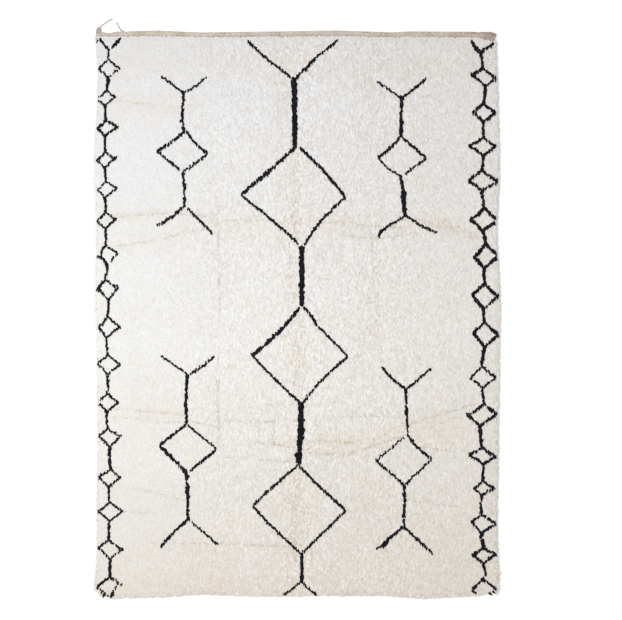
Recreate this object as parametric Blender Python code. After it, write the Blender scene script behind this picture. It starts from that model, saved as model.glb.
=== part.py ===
"""A Beni Ourain rug lying flat: knotted wool pile on a woven ground, with a flat-woven heading.

Metres. +X runs to the right, +Y towards the heading, +Z up. The origin is on the floor under
the middle of the whole rug, loose yarn ends included.
"""
import math
import random
from collections import namedtuple

import bmesh
import bpy
from mathutils import Vector, noise

MM = 0.001

# Driving sizes. The rug is laid out about the middle of its pile and centred at the end.
HALF_WIDTH = 1050 * MM
HALF_LENGTH = 1470 * MM
GROUND_THICKNESS = 4.5 * MM
PILE_TOP = 22 * MM  # the pile's mean height above the floor, away from its rim
RIM_TOP = 13 * MM
RIM_SOFTNESS = 24 * MM
RIM_INSET = 18 * MM
CORNER_CUT = 9 * MM
SIDE_REACH = 10 * MM
BOTTOM_REACH = 16 * MM
COLUMNS = 30
ROWS = 42
PIECE_GAP = 0.3 * MM
SHARP_ANGLE = math.radians(35)
FACING_UP_THE_RUG = 0.5  # a wall with more of its normal along +Y than this faces the heading

# The lumps that the locks make together: cycles per metre and height of each size of lump.
Lump = namedtuple("Lump", "rate height seed")
LUMPS = [
    Lump(rate=2.6, height=3.0 * MM, seed=1.0),
    Lump(rate=8.5, height=4.0 * MM, seed=5.0),
]

# Rim locks: outward steps, the share of a lock's size kept at each, and the drop towards the floor.
LockStep = namedtuple("LockStep", "share size drop")
LOCK_STEPS = [
    LockStep(share=0.5, size=0.72, drop=1.5 * MM),
    LockStep(share=0.5, size=0.42, drop=3.0 * MM),
]
LOCK_LEAN = 9 * MM
LOCK_UNEVENNESS = 0.3
LOCK_SEED = 11

# Where the tips of the side locks end, by height up the rug.
SideRow = namedtuple("SideRow", "y left right")
SIDE_ROWS = [
    SideRow(y=-1427 * MM, left=-1061 * MM, right=1050 * MM),
    SideRow(y=-1349 * MM, left=-1050 * MM, right=1056 * MM),
    SideRow(y=-1271 * MM, left=-1045 * MM, right=1045 * MM),
    SideRow(y=-1037 * MM, left=-1045 * MM, right=1045 * MM),
    SideRow(y=-647 * MM, left=-1040 * MM, right=1050 * MM),
    SideRow(y=-257 * MM, left=-1045 * MM, right=1056 * MM),
    SideRow(y=55 * MM, left=-1056 * MM, right=1061 * MM),
    SideRow(y=445 * MM, left=-1050 * MM, right=1045 * MM),
    SideRow(y=835 * MM, left=-1061 * MM, right=1056 * MM),
    SideRow(y=1147 * MM, left=-1045 * MM, right=1050 * MM),
    SideRow(y=1303 * MM, left=-1040 * MM, right=1045 * MM),
    SideRow(y=1459 * MM, left=-1052 * MM, right=1040 * MM),
]

# Where the tips of the bottom locks end, by distance across the rug.
BottomRow = namedtuple("BottomRow", "x reach")
BOTTOM_ROWS = [
    BottomRow(x=-1045 * MM, reach=-1458 * MM),
    BottomRow(x=-967 * MM, reach=-1479 * MM),
    BottomRow(x=-733 * MM, reach=-1474 * MM),
    BottomRow(x=-499 * MM, reach=-1459 * MM),
    BottomRow(x=-187 * MM, reach=-1469 * MM),
    BottomRow(x=203 * MM, reach=-1466 * MM),
    BottomRow(x=437 * MM, reach=-1464 * MM),
    BottomRow(x=671 * MM, reach=-1479 * MM),
    BottomRow(x=983 * MM, reach=-1464 * MM),
    BottomRow(x=1040 * MM, reach=-1450 * MM),
]

# The heading: its outer edge and the line where the pile starts, by distance across the rug.
HeadingRow = namedtuple("HeadingRow", "x outer pile thickness")
HEADING_ROWS = [
    HeadingRow(x=-1056 * MM, outer=1473 * MM, pile=1443 * MM, thickness=4.5 * MM),
    HeadingRow(x=-889 * MM, outer=1474 * MM, pile=1443 * MM, thickness=4.5 * MM),
    HeadingRow(x=-733 * MM, outer=1479 * MM, pile=1446 * MM, thickness=5.0 * MM),
    HeadingRow(x=-499 * MM, outer=1469 * MM, pile=1440 * MM, thickness=4.5 * MM),
    HeadingRow(x=-109 * MM, outer=1474 * MM, pile=1443 * MM, thickness=5.0 * MM),
    HeadingRow(x=203 * MM, outer=1479 * MM, pile=1446 * MM, thickness=4.5 * MM),
    HeadingRow(x=489 * MM, outer=1469 * MM, pile=1440 * MM, thickness=5.0 * MM),
    HeadingRow(x=593 * MM, outer=1474 * MM, pile=1442 * MM, thickness=4.5 * MM),
    HeadingRow(x=975 * MM, outer=1470 * MM, pile=1438 * MM, thickness=5.0 * MM),
    HeadingRow(x=1020 * MM, outer=1464 * MM, pile=1420 * MM, thickness=7.5 * MM),
]
HEADING_CROWN = 1.0 * MM
HEADING_END_CUT = 9 * MM
TAB_LENGTH = 21 * MM

# Folds left in the rug by its storage: soft troughs between two points of the pile.
Fold = namedtuple("Fold", "x0 y0 x1 y1 depth half_width")
FOLDS = [
    Fold(x0=-0.080, y0=1.44, x1=0.005, y1=-1.46, depth=5.0 * MM, half_width=0.060),
    Fold(x0=-0.416, y0=1.44, x1=-0.416, y1=-1.46, depth=2.5 * MM, half_width=0.055),
    Fold(x0=0.406, y0=1.44, x1=0.406, y1=-1.46, depth=2.5 * MM, half_width=0.055),
    Fold(x0=-1.030, y0=0.520, x1=-0.600, y1=0.512, depth=3.0 * MM, half_width=0.055),
    Fold(x0=0.150, y0=0.424, x1=0.940, y1=0.405, depth=3.5 * MM, half_width=0.060),
    Fold(x0=-1.020, y0=-0.540, x1=-0.120, y1=-0.575, depth=4.0 * MM, half_width=0.060),
    Fold(x0=0.020, y0=-0.720, x1=0.250, y1=-0.715, depth=3.0 * MM, half_width=0.050),
    Fold(x0=0.220, y0=-0.530, x1=0.960, y1=-0.500, depth=3.5 * MM, half_width=0.060),
]

# Loose warp yarns at the heading's left corner, each laid on the floor along its own points.
YARN_RADIUS = 2.2 * MM
YARN_ROOT_HEIGHT = 2.6 * MM
YARNS = [
    [(-1.037, 1.480), (-1.026, 1.497), (-1.014, 1.511), (-0.998, 1.517), (-0.979, 1.531), (-0.962, 1.537)],
    [(-0.883, 1.461), (-0.903, 1.474), (-0.917, 1.481), (-0.926, 1.494), (-0.934, 1.509), (-0.941, 1.521)],
]

Coat = namedtuple("Coat", "color roughness")
COATS = {
    "wool_pile": Coat(color=(0.80, 0.77, 0.72), roughness=0.95),
    "flat_weave": Coat(color=(0.58, 0.50, 0.42), roughness=0.9),
}


def read_row(rows, key, column, place):
    """Read a table's column at a place between its rows, easing from each row to the next."""
    if place <= getattr(rows[0], key):
        return getattr(rows[0], column)
    for low, high in zip(rows, rows[1:]):
        if place <= getattr(high, key):
            share = (place - getattr(low, key)) / (getattr(high, key) - getattr(low, key))
            eased = share * share * (3 - 2 * share)
            start = getattr(low, column)
            return start + (getattr(high, column) - start) * eased
    return getattr(rows[-1], column)


def grid_lines(half, inset, count):
    """Even grid lines from -half to half, with one more line close inside each end."""
    inner = half - inset
    steps = count - 2
    middle = [-inner + 2 * inner * step / steps for step in range(steps + 1)]
    return [-half] + middle + [half]


def rim_lines(lines):
    """Grid lines with each wide space halved, as the rim's vertices stand."""
    rim = [lines[0]]
    for low, high in zip(lines, lines[1:]):
        if high - low > 1.5 * RIM_INSET:
            rim.append((low + high) / 2)
        rim.append(high)
    return rim


def pile_outline(x, y):
    """Left, right, bottom and top lines of the pile's wall at a nominal place."""
    left = read_row(SIDE_ROWS, "y", "left", y) + SIDE_REACH
    right = read_row(SIDE_ROWS, "y", "right", y) - SIDE_REACH
    bottom = read_row(BOTTOM_ROWS, "x", "reach", x) + BOTTOM_REACH
    top = read_row(HEADING_ROWS, "x", "pile", x)
    return left, right, bottom, top


def between(low, high, place, half):
    """Move a nominal place in -half to half to the same share of low to high."""
    return low + (high - low) * (place + half) / (2 * half)


def fold_depth(x, y):
    """How far the storage folds sink the pile at a point."""
    depth = 0.0
    for fold in FOLDS:
        start = Vector((fold.x0, fold.y0))
        run = Vector((fold.x1, fold.y1)) - start
        share = min(1.0, max(0.0, (Vector((x, y)) - start).dot(run) / run.length_squared))
        distance = (Vector((x, y)) - start - run * share).length
        depth = max(depth, fold.depth * math.exp(-(distance / fold.half_width) ** 2))
    return depth


def pile_height(x, y, edge_distance):
    """Height of the lumpy pile above the floor, lower in the folds and at the rim."""
    lumps = 0.0
    for lump in LUMPS:
        lumps += lump.height * noise.noise(Vector((x * lump.rate, y * lump.rate, lump.seed)))
    rim_fall = (PILE_TOP - RIM_TOP) * math.exp(-edge_distance / RIM_SOFTNESS)
    calm = 1 - math.exp(-edge_distance / RIM_SOFTNESS)
    return PILE_TOP - rim_fall + (lumps - fold_depth(x, y)) * calm


def new_material(name):
    """A plain wool finish with the named coat's colour and roughness."""
    material = bpy.data.materials.new(name)
    material.use_nodes = True
    shader = material.node_tree.nodes["Principled BSDF"]
    shader.inputs["Base Color"].default_value = (*COATS[name].color, 1.0)
    shader.inputs["Roughness"].default_value = COATS[name].roughness
    shader.inputs["Metallic"].default_value = 0.0
    return material


def new_object(name, mesh, coat, collection):
    """Put a mesh in the rug's collection under its own name and material."""
    piece = bpy.data.objects.new(name, mesh)
    piece.data.materials.append(new_material(coat))
    collection.objects.link(piece)
    return piece


def grid_mesh(columns, rows, place_point):
    """A grid surface whose vertices stand where place_point puts each column and row line."""
    bm = bmesh.new()
    bmesh.ops.create_grid(bm, x_segments=len(columns) - 1, y_segments=len(rows) - 1, size=1)
    for vertex in bm.verts:
        column = round((vertex.co.x + 1) / 2 * (len(columns) - 1))
        row = round((vertex.co.y + 1) / 2 * (len(rows) - 1))
        vertex.co = place_point(columns[column], rows[row])
    return bm


def rim_edges(bm):
    return [edge for edge in bm.edges if edge.is_boundary]


def drop_rim(bm, height):
    """Extrude the open rim straight down to a height, and give the wall faces that it makes."""
    made = bmesh.ops.extrude_edge_only(bm, edges=rim_edges(bm))["geom"]
    for vertex in made:
        if isinstance(vertex, bmesh.types.BMVert):
            vertex.co.z = height
    return [face for face in made if isinstance(face, bmesh.types.BMFace)]


def close_base(bm):
    """Close the open rim with one flat face and point every face outwards."""
    bmesh.ops.contextual_create(bm, geom=rim_edges(bm))
    bmesh.ops.recalc_face_normals(bm, faces=bm.faces)


def mesh_from(bm, name):
    """A mesh of the finished surface, smooth but for its sharp rims."""
    mesh = bpy.data.meshes.new(name)
    bm.to_mesh(mesh)
    bm.free()
    mesh.shade_smooth()
    mesh.set_sharp_from_angle(angle=SHARP_ANGLE)
    return mesh


def rim_place(face):
    """A wall face's bearing from the middle of the rug, which puts the faces in one fixed order."""
    middle = face.calc_center_median()
    return math.atan2(middle.y, middle.x)


def grow_lock(bm, face, rng):
    """Draw a wall face out into a tapered lock that falls to the floor and leans down the rug."""
    outward = Vector((face.normal.x, face.normal.y, 0.0)).normalized()
    reach = SIDE_REACH + (BOTTOM_REACH - SIDE_REACH) * max(0.0, -outward.y)
    reach *= 1 + LOCK_UNEVENNESS * rng.uniform(-1, 1)
    lean = LOCK_LEAN * (1 - abs(outward.y)) * (1 + LOCK_UNEVENNESS * rng.uniform(-1, 1))
    draw = outward * reach + Vector((0.0, -lean, 0.0))
    for step in LOCK_STEPS:
        face = bmesh.ops.extrude_discrete_faces(bm, faces=[face])["faces"][0]
        middle = face.calc_center_median()
        shift = draw * step.share - Vector((0.0, 0.0, step.drop))
        for vertex in face.verts:
            vertex.co = middle + (vertex.co - middle) * step.size + shift


def make_pile_field(columns, rows, collection):
    """The woven ground and its pile as one lumpy slab, with locks at its sides and bottom edge."""

    def place_point(x, y):
        left, right, bottom, top = pile_outline(x, y)
        point = Vector((between(left, right, x, HALF_WIDTH), between(bottom, top, y, HALF_LENGTH), 0.0))
        edge_distance = min(HALF_WIDTH - abs(x), HALF_LENGTH - abs(y))
        point.z = pile_height(point.x, point.y, edge_distance)
        if abs(x) == HALF_WIDTH and y == -HALF_LENGTH:
            point.x -= math.copysign(CORNER_CUT, x)
            point.y += CORNER_CUT
        return point

    bm = grid_mesh(columns, rows, place_point)
    wide = [edge for edge in rim_edges(bm) if edge.calc_length() > 1.5 * RIM_INSET]
    bmesh.ops.subdivide_edges(bm, edges=wide, cuts=1)
    pile_wall = drop_rim(bm, GROUND_THICKNESS)
    drop_rim(bm, 0.0)
    close_base(bm)
    rng = random.Random(LOCK_SEED)
    for face in sorted(pile_wall, key=rim_place):
        if face.normal.y < FACING_UP_THE_RUG:
            grow_lock(bm, face, rng)
    return new_object("pile_field", mesh_from(bm, "pile_field"), "wool_pile", collection)


def union(piece, other):
    """Join another mesh object into a piece and remove it."""
    joined = piece.modifiers.new("join", "BOOLEAN")
    joined.operation = "UNION"
    joined.object = other
    evaluated = piece.evaluated_get(bpy.context.evaluated_depsgraph_get())
    mesh = bpy.data.meshes.new_from_object(evaluated)
    piece.modifiers.remove(joined)
    piece.data = mesh
    bpy.data.objects.remove(other)


def make_yarn(name, points, collection):
    """A four-sided yarn that leaves the weave a little above the floor and then rests on it."""
    curve = bpy.data.curves.new(name, "CURVE")
    curve.dimensions = "3D"
    curve.bevel_depth = YARN_RADIUS
    curve.bevel_resolution = 0
    curve.use_fill_caps = True
    spline = curve.splines.new("POLY")
    spline.points.add(len(points) - 1)
    for index, (x, y) in enumerate(points):
        height = YARN_ROOT_HEIGHT if index == 0 else YARN_RADIUS
        spline.points[index].co = (x, y, height, 1.0)
    tube = bpy.data.objects.new(name, curve)
    collection.objects.link(tube)
    evaluated = tube.evaluated_get(bpy.context.evaluated_depsgraph_get())
    mesh = bpy.data.meshes.new_from_object(evaluated)
    bm = bmesh.new()
    bm.from_mesh(mesh)
    bmesh.ops.remove_doubles(bm, verts=bm.verts, dist=0.0001)
    bm.to_mesh(mesh)
    bm.free()
    solid = bpy.data.objects.new(name + "_solid", mesh)
    solid.matrix_world = tube.matrix_world
    collection.objects.link(solid)
    bpy.data.objects.remove(tube)
    return solid


def heading_inner(x, columns):
    """Where the pile's wall stands at a rim line: on a grid line, or halfway between two."""
    if x in columns:
        return read_row(HEADING_ROWS, "x", "pile", x)
    below = max(line for line in columns if line < x)
    above = min(line for line in columns if line > x)
    ends = [read_row(HEADING_ROWS, "x", "pile", line) for line in (below, above)]
    return sum(ends) / 2


def make_heading(columns, collection):
    """The flat-woven end strip, thicker at its right end, with a corner tab and loose yarns."""
    rim = rim_lines(columns)
    across = [0.0, 0.5, 1.0]

    def place_point(x, share):
        left, right, _, _ = pile_outline(x, HALF_LENGTH)
        place = between(left, right, x, HALF_WIDTH)
        inner = heading_inner(x, columns) + PIECE_GAP
        outer = read_row(HEADING_ROWS, "x", "outer", x)
        height = read_row(HEADING_ROWS, "x", "thickness", x)
        if x == rim[-1]:
            inner += HEADING_END_CUT
            outer -= HEADING_END_CUT
        crown = HEADING_CROWN * (1 - abs(2 * share - 1))
        return Vector((place, inner + (outer - inner) * share, height + crown))

    bm = grid_mesh(rim, across, place_point)
    walls = drop_rim(bm, 0.0)
    close_base(bm)
    outer_walls = [face for face in walls if face.normal.y > FACING_UP_THE_RUG]
    corner = min(outer_walls, key=lambda face: face.calc_center_median().x)
    tab = bmesh.ops.extrude_discrete_faces(bm, faces=[corner])["faces"][0]
    bmesh.ops.translate(bm, verts=tab.verts, vec=(0.0, TAB_LENGTH, 0.0))
    heading = new_object("heading", mesh_from(bm, "heading"), "flat_weave", collection)
    for index, points in enumerate(YARNS):
        union(heading, make_yarn("yarn_%d" % index, points, collection))
    return heading


def centre_on_floor(pieces):
    """Move the pieces together so that the middle of their box is over the origin."""
    corners = [Vector(corner) for piece in pieces for corner in piece.bound_box]
    middle_x = (min(c.x for c in corners) + max(c.x for c in corners)) / 2
    middle_y = (min(c.y for c in corners) + max(c.y for c in corners)) / 2
    for piece in pieces:
        piece.location = (-middle_x, -middle_y, 0.0)


def main():
    for item in list(bpy.data.objects):
        bpy.data.objects.remove(item)
    collection = bpy.data.collections.new("beni_ourain_rug")
    bpy.context.scene.collection.children.link(collection)
    columns = grid_lines(HALF_WIDTH, RIM_INSET, COLUMNS)
    rows = grid_lines(HALF_LENGTH, RIM_INSET, ROWS)
    pile_field = make_pile_field(columns, rows, collection)
    heading = make_heading(columns, collection)
    centre_on_floor([pile_field, heading])


main()
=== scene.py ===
"""Looks of the Beni Ourain rug: every wool tuft, the dark diamond lattice and the flat-woven end.

Metres, in the frame's own axes: +X across the rug, +Y towards the heading, +Z up. The pattern is
charted in millimetres about the middle of the pile.
"""
import math
from collections import namedtuple
from functools import partial

import bmesh
import bpy
import numpy as np
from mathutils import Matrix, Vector, kdtree, noise
from mathutils.bvhtree import BVHTree


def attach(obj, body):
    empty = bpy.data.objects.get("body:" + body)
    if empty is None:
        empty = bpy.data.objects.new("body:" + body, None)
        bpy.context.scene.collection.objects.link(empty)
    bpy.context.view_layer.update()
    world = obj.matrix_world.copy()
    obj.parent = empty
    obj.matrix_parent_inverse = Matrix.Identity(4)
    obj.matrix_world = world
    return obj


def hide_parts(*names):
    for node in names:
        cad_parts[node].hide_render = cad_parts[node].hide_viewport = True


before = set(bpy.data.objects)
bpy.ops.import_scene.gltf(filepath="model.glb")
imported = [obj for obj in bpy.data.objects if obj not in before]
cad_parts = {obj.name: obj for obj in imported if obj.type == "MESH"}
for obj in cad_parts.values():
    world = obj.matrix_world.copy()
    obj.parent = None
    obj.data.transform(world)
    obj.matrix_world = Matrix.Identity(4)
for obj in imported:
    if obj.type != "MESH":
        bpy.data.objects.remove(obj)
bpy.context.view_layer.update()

MM = 0.001
SEED = 41

# Where the pattern's middle lies in the frame.
CHART_MIDDLE = (-0.8 * MM, -28.5 * MM)

# The photograph: its size, and the pixel of the pattern's middle.
PHOTO_WIDTH, PHOTO_HEIGHT = 622, 620
MIDDLE_PIXEL = (297, 314.5)
PIXEL_SIZE = 5.2 * MM
PHOTO_PLANE = 20 * MM  # the height at which a pixel has that size
LENS, SENSOR = 100, 36
FLOOR_SIZE, FLOOR_HEIGHT = 60, -0.2 * MM
WINDOW_PLACE = (-2.2, 0.1, 3.2)

# The woven ground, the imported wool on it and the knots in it.
GROUND_TOP, GROUND_RIPPLE = 4.5 * MM, 0.4 * MM
GROUND_CELLS = (40, 56)
RAY_START, RAY_INSET = 1, 1 * MM  # of rays that look down at the pile
BODY_CELL, BODY_INSET = 16 * MM, 5 * MM
BODY_DEPTH = 2.6 * MM  # below the tips
BODY_TONES = (0.5, 0.7)  # of its hollows and lumps
KNOT_PITCH, ROW_PITCH = 9.4 * MM, 10.9 * MM
KNOT_JITTER = (1.7 * MM, 2.2 * MM)
KNOT_INSET, BOTTOM_INSET = 3 * MM, 4 * MM
BANDS = 5

# Cream tufts: the field's, the low rim's, the short brow's by the heading, and painted-shade ones along
# creases.
TUFT_LENGTH, TUFT_WIDTH = 24 * MM, 14.5 * MM
RIM_LENGTH, RIM_WIDTH, RIM_PITCH = 24 * MM, 9 * MM, 6 * MM
RIM_INSET, RIM_HEIGHT = 6 * MM, 13 * MM
RIM_BEND = 0.45  # of its length
RIM_LIFTS = [(5, 8), (6, 9.5), (1.8, 6)]  # millimetres above the floor, of its root, bend and tip
RIM_SIDE_SHARE = 0.78  # of the rim's length, at the rug's sides
SIDE_TURN, SQUARE_TURN = 1.15, 0.7  # radians outwards
SQUARE_CORNER = (1033, -1476)  # on the chart, where the wool reaches further out
SQUARE_MORE, SQUARE_REACH = 31 * MM, 110 * MM
BROW_LENGTH, BROW_WIDTH, BROW_PITCH = 13 * MM, 8 * MM, 3.6 * MM
BROW_INSETS, BROW_DEPTH = (8 * MM, 1 * MM), 0.8 * MM
CREASE_LENGTH, CREASE_WIDTH, CREASE_PITCH = 26 * MM, 5 * MM, 12 * MM
CREASE_WANDER, CREASE_LIFT = 3 * MM, 0.6 * MM
CREASE_HALF_WIDTH = 14  # millimetres, of the widest fold with such painted-shade tufts
CREASE_ODDS = (0.25, 0.9)  # that one stays, and how far clusters change them
CREASE_SHADE_MARKS = (-0.20, 1.9)  # in tone, darker as painted shade, and in tint

# Every tuft's shape, and how it lies.
TUFT_SIZES = (0.62, 1, 0.6)  # of its width, at the root, the bend and the tip
TUFT_THICKNESS = 0.24  # of its width
TUFT_EDGE = math.radians(75)  # bends sharper than this show as edges
BEND_SHARE = 0.40  # of its length, where it stops rising and lies down
SHOWN_SHARE = 0.68  # of its length, to the middle of what shows
SUNK_SHARES = (0.65, 0.75)  # of its thickness, at the bend and the tip
TUFT_JITTER = (0.4 * MM, 0.5 * MM)  # of their heights
TUFT_LOW, POINT_LOW = 1.8 * MM, 0.2 * MM  # the lowest that its middle line and its corners lie
DROOP_REACH, DROOP_SHARE = 16 * MM, 0.5  # of a tip past the ground
LEAN_SPREAD, LEAN_DRIFT = 0.22, 0.14  # radians, from tuft to tuft and over hand-wide patches
EDGE_SPLAY, EDGE_REACH = 0.45, 45 * MM
CORNER_SPLAY, CORNER_REACH = 0.55, 70 * MM

# Dark tufts: one or more to a knot, longer where the line runs with the lay than across it.
INK_WIDTH = 9.5 * MM
INK_FULL = 0.75  # of that width, which a tapered tuft covers
INK_SHARE = 0.85  # of a line's width, which its knots fill
INK_COVER = 5.5 * MM  # more across the lay, where cream tips lie over the line
INK_SLANT = 0.6  # from which a line counts as across the lay
INK_LANE = 0.6 * INK_WIDTH
INK_MARGIN = 1 * MM
INK_LENGTHS = (10 * MM, 16 * MM)  # shortest and longest that shows
INK_STEPS = (7.5 * MM, 7 * MM)  # with the lay and across it
INK_HIDDEN = 0.30  # of its length, at the root
INK_WANDER, INK_WAVE = 1.6 * MM, 24 * MM
INK_PAST = (3 * MM, 15 * MM)  # of a dark tip past the ground's sides and bottom

# An even dark line and the most ragged one: how its knots and tufts vary.
INK_STRAY = (0.6, 1.4)  # of the wander
INK_UNEVEN = (0.12, 0.37)  # of its width
INK_JITTER = (0.6 * MM, 1.6 * MM)
INK_SPLAY = (0.10, 0.26)  # radians
INK_LIFT = (2.2 * MM, 1.32 * MM)
INK_MISSING = 0.08  # of the most ragged one's knots

# One cream tuft's tone against the next, by place across the rug from 0 to 1.
TONE_PLACES = (0.10, 0.21, 0.31, 0.44, 0.51, 0.58, 0.71, 0.81, 1)
TONE_CONTRAST = (0.03, 0.08, 0.15, 0.16, 0.27, 0.18, 0.22, 0.16, 0.14)
TIP_CONTRAST = (0.05, 0.11)  # of a tuft's tip against its bend, at the rug's left and right sides
CREAM_TONE = 0.62
MIDDLE_TONE, MIDDLE_HALF = 0.055, 0.3  # the rug's middle is lighter, over this share of its width
MIDDLE_FOOT, MIDDLE_RISE = -1.05, 0.4  # metres, where that starts and over how much it grows
# In the creases, tufts are darker by the first, as painted shade, and vary more by the second.
PAINTED_CREASE_SHADE, CREASE_CONTRAST = -0.36, 0.15
ROOT_SHADE_TONES = (-0.14, 0, 0.04)  # of a tuft's root, darker as painted shade deep in the pile, its bend and its tip
GREY_ENDS = (1.2, 3)  # a beta distribution of tones, most of them deep
TINT_CONTRAST = 0.75  # of one tuft's creaminess against the next
TINT_RANGE = (-1, 3)
TINT_RIGHT, TINT_CREASED = 0.35, 0.95  # at the rug's right side and in its creases
PATCH_DRIFT = (40 * MM, 14 * MM)

# Folds and creases left by storage: how far each sinks the pile, half its width, and how far it
# opens it, which shows creamier wool, darkened there as painted shade.
PART_REACH = 12 * MM  # over which the tufts beside a fold turn aside
Fold = namedtuple("Fold", "x0 y0 x1 y1 sink half_width part")
FOLDS = [Fold(*row) for row in (
    (-80, 1440, -10, 860, 1.5, 28, 0.22), (-15, 860, 0, 350, 2.5, 26, 0.45),
    (-35, 350, -30, 40, 1.5, 24, 0.3), (10, 20, 20, -450, 2, 26, 0.4), (0, -780, 0, -1240, 2, 28, 0.45),
    (-416, 520, -400, 60, 1.5, 14, 0.3), (-400, 60, -410, -330, 1, 10, 0.15),
    (-416, -330, -405, -680, 1.5, 14, 0.3), (380, 520, 425, -160, 1.5, 18, 0.25),
    (-972, 1115, -608, 1074, 1, 10, 0.25), (-985, 505, -686, 528, 2, 14, 0.6),
    (-686, 528, -426, 507, 2, 13, 0.45), (-390, 491, -36, 486, 1.5, 12, 0.3),
    (42, 486, 390, 465, 1.5, 12, 0.45), (390, 462, 536, 450, 2, 13, 0.6), (572, 507, 750, 457, 2.5, 18, 0.6),
    (750, 457, 940, 400, 2.5, 18, 0.7), (198, 413, 421, 395, 1, 7, 0.45), (421, 395, 640, 425, 1, 8, 0.25),
    (-972, 346, -764, 382, 1, 12, 0.3), (-764, 382, -478, 445, 1, 12, 0.35),
    (-985, -490, -582, -520, 1, 9, 0.35), (-985, -533, -582, -565, 1, 8, 0.3),
    (-582, -552, -411, -585, 1, 9, 0.45), (-411, -559, -10, -554, 1, 8, 0.4),
    (-166, -471, -10, -471, 0.5, 6, 0.3), (213, -533, 546, -533, 0.8, 7, 0.35),
    (562, -575, 926, -465, 1.5, 9, 0.5), (650, -600, 910, -510, 1, 8, 0.3),
    (-218, -663, -10, -694, 0.8, 7, 0.35), (-120, -565, -122, -692, 0.8, 7, 0.4),
    (42, -660, 380, -670, 1, 10, 0.35), (20, -712, 250, -736, 1.5, 9, 0.5),
    (250, -731, 546, -632, 1.5, 9, 0.45), (650, -694, 910, -720, 0.8, 7, 0.25),
    (-426, -741, -10, -772, 0.8, 7, 0.25), (-985, -1020, -764, -1030, 0.8, 9, 0.25),
    (-858, -897, -598, -965, 1, 8, 0.35), (562, -965, 822, -1001, 0.8, 7, 0.25),
    (-764, -1187, -322, -1196, 0.8, 7, 0.25), (-322, -1199, -62, -1206, 1.2, 8, 0.5),
)]

# Soft patches of creamier wool, or of bluish white wool where the amount is below zero.
Patch = namedtuple("Patch", "x y half_x half_y amount")
PATCHES = [Patch(*row) for row in (
    (-868, 1313, 170, 42, 0.8), (-36, 1308, 320, 55, 0.5), (640, 1285, 340, 65, 0.6),
    (-660, 1188, 420, 30, -0.6), (-830, 1084, 190, 55, 1.2), (-312, 1053, 210, 170, -0.5),
    (172, 1074, 130, 170, -0.4), (-820, 760, 260, 190, -0.8), (-73, 1200, 50, 290, 0.8),
    (-16, 620, 60, 260, 0.7), (390, 1160, 70, 300, 0.4), (-900, 505, 180, 36, 0.7), (-840, 360, 210, 32, 0.7),
    (-312, 450, 330, 68, 0.9), (172, 455, 200, 62, 1), (690, 462, 260, 52, 1.3), (-820, 180, 300, 110, -0.5),
    (-36, 190, 50, 190, 0.6), (690, 12, 260, 50, 0.4), (-860, -160, 250, 90, -0.6), (400, -60, 70, 420, 0.5),
    (10, -210, 70, 240, 0.8), (-580, -530, 440, 48, 0.6), (210, -665, 200, 56, 1.5),
    (720, -605, 220, 70, 1.4), (-840, -1040, 260, 190, -0.4), (-5, -980, 75, 260, 0.8),
    (380, -913, 70, 220, 0.4), (-374, -1277, 70, 150, 0.5), (-810, -1200, 250, 42, 0.4),
    (-540, -1400, 520, 55, 0.9), (715, -1170, 200, 130, 0.3),
)]

# The chart, top to bottom. A border is a chain of diamonds, each a little askew, with the width of
# its line and of the stem above it: the left one's upper and lower part, and the right one.
Diamond = namedtuple("Diamond", "top_x top_y left_x left_y right_x right_y bottom_x bottom_y width stem")
BORDERS = [[Diamond(*row) for row in rows] for rows in ([
    (-985, 1325, -1040, 1280, -920, 1280, -980, 1230, 8, 0),
    (-990, 1165, -1045, 1120, -945, 1130, -1000, 1085, 9, 15),
    (-995, 1010, -1040, 965, -930, 970, -1000, 925, 11, 12),
    (-995, 845, -1045, 800, -940, 810, -1000, 760, 10, 15),
    (-995, 695, -1040, 645, -935, 655, -1000, 605, 8, 14),
    (-995, 535, -1045, 485, -940, 495, -995, 440, 10, 15),
], [
    (-995, 185, -1040, 130, -930, 135, -980, 70, 12, 15),
    (-985, -10, -1035, -70, -920, -65, -990, -125, 10, 12),
    (-985, -210, -1040, -255, -915, -260, -985, -315, 8, 12),
    (-985, -410, -1040, -455, -925, -460, -990, -510, 10, 12),
    (-985, -595, -1035, -635, -915, -635, -975, -695, 10, 10),
    (-970, -805, -1035, -845, -915, -850, -980, -900, 10, 15),
    (-975, -975, -1035, -1025, -905, -1025, -975, -1075, 9, 12),
    (-980, -1175, -1035, -1215, -905, -1220, -975, -1275, 10, 15),
], [
    (965, 1280, 905, 1245, 1040, 1225, 980, 1185, 13, 0),
    (970, 1095, 910, 1050, 1035, 1050, 970, 1000, 14, 19),
    (970, 920, 890, 875, 1035, 875, 970, 825, 13, 15),
    (960, 750, 890, 695, 1045, 690, 960, 640, 13, 16),
    (975, 555, 900, 490, 1045, 485, 965, 430, 16, 15),
    (980, 365, 920, 300, 1050, 305, 975, 235, 16, 19),
    (975, 160, 910, 100, 1050, 95, 970, 25, 16, 16),
    (975, -40, 915, -100, 1050, -110, 975, -170, 13, 17),
    (960, -270, 900, -330, 1035, -330, 965, -385, 10, 19),
    (975, -465, 885, -525, 1040, -520, 950, -585, 13, 13),
    (960, -690, 895, -730, 1035, -740, 970, -785, 13, 19),
    (965, -865, 920, -905, 1030, -905, 960, -945, 11, 15),
    (960, -1040, 905, -1080, 1045, -1090, 960, -1140, 12, 14),
    (970, -1215, 910, -1250, 1035, -1245, 970, -1300, 13, 19),
])]
SIDE_BOW = 3  # millimetres, of a diamond's side towards its middle
SIDE_DRIFT, STEM_DRIFT = 2, 3  # millimetres, by which the bow of a side or a stem may vary
SIDE_RAGGED, STEM_RAGGED = (0.1, 0.65), (0.3, 0.9)

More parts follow.
